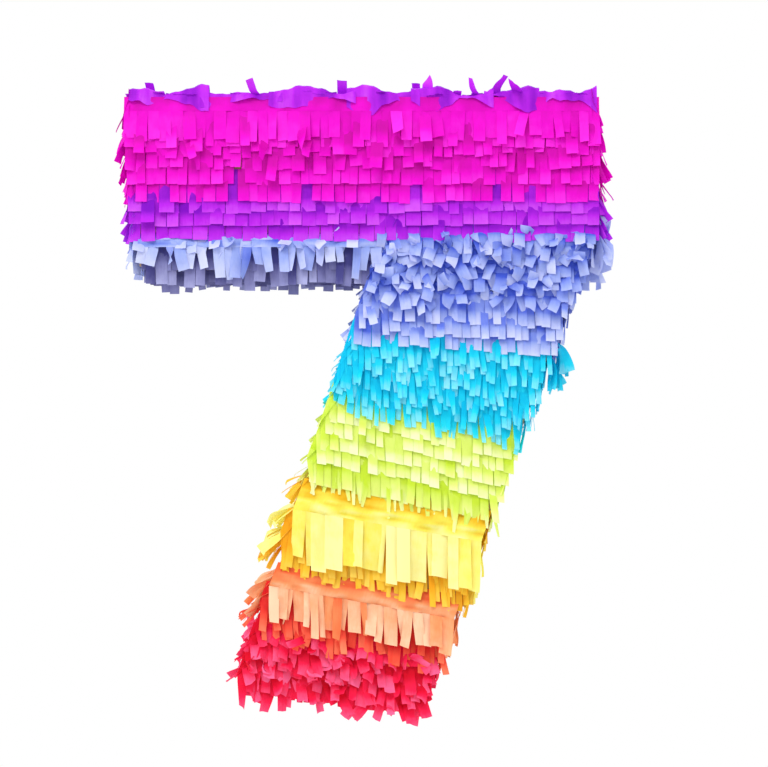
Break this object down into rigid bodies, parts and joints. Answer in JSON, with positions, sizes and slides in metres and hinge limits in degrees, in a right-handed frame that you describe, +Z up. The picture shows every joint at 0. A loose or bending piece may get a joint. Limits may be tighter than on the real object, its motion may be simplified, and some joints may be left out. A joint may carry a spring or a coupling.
{
  "type": "pinata",
  "caption": "Piñata in the shape of the numeral seven: a hollow card body with a fill door at the back, covered in rainbow bands of cut paper fringe.",
  "frame": {"origin": "centre of the hanger hole, in the outer face of the top wall", "axes": "+Z up along the hanger hole, -Y out of the front face, +X to the right seen from the front"},
  "size_m": [0.313, 0.077, 0.4175],
  "materials": {
    "card": "matte",
    "seam_tape": "matte",
    "magenta_paper": "matte",
    "purple_paper": "matte",
    "periwinkle_paper": "matte",
    "cyan_paper": "matte",
    "lime_paper": "matte",
    "yellow_paper": "matte",
    "orange_paper": "matte",
    "red_paper": "matte"
  },
  "bodies": {
    "shell": {"front_panel": "card", "back_panel": "card", "top_wall": "card", "bar_end_wall": "card", "stem_outer_wall": "card", "foot_wall": "card", "stem_inner_wall": "card", "underside_wall": "card", "arm_end_wall": "card", "hanger_plate": "card", "front_seam_tape": "seam_tape", "back_seam_tape": "seam_tape", "corner_tape": "seam_tape", "purple_fringe_top": "purple_paper", "magenta_fringe_front": "magenta_paper", "magenta_fringe_back": "magenta_paper", "magenta_fringe_arm_end": "magenta_paper", "magenta_fringe_bar_end": "magenta_paper", "purple_fringe_front": "purple_paper", "purple_fringe_back": "purple_paper", "purple_fringe_arm_end": "purple_paper", "purple_fringe_bar_end": "purple_paper", "periwinkle_fringe_arm_front": "periwinkle_paper", "periwinkle_fringe_arm_back": "periwinkle_paper", "periwinkle_fringe_arm_end": "periwinkle_paper", "periwinkle_fringe_bar_end": "periwinkle_paper", "periwinkle_fringe_underside": "periwinkle_paper", "periwinkle_fringe_front": "periwinkle_paper", "periwinkle_fringe_back": "periwinkle_paper", "periwinkle_fringe_inner": "periwinkle_paper", "periwinkle_fringe_outer": "periwinkle_paper", "cyan_fringe_front": "cyan_paper", "cyan_fringe_back": "cyan_paper", "cyan_fringe_inner": "cyan_paper", "cyan_fringe_outer": "cyan_paper", "lime_fringe_front": "lime_paper", "lime_fringe_back": "lime_paper", "lime_fringe_inner": "lime_paper", "lime_fringe_outer": "lime_paper", "yellow_fringe_front": "yellow_paper", "yellow_fringe_back": "yellow_paper", "yellow_fringe_inner": "yellow_paper", "yellow_fringe_outer": "yellow_paper", "orange_fringe_front": "orange_paper", "orange_fringe_back": "orange_paper", "orange_fringe_inner": "orange_paper", "orange_fringe_outer": "orange_paper", "red_fringe_front": "red_paper", "red_fringe_back": "red_paper", "red_fringe_inner": "red_paper", "red_fringe_outer": "red_paper", "red_fringe_foot": "red_paper"},
    "fill_door": {"fill_door": "card", "magenta_fringe_door": "magenta_paper"}
  },
  "joints": [
    {"name": "fill_door_hinge", "type": "hinge", "parent": "shell", "child": "fill_door", "pos_m": [0.065, 0.0325, -0.016], "axis": [1, 0, 0], "range_deg": [0, 100]}
  ]
}
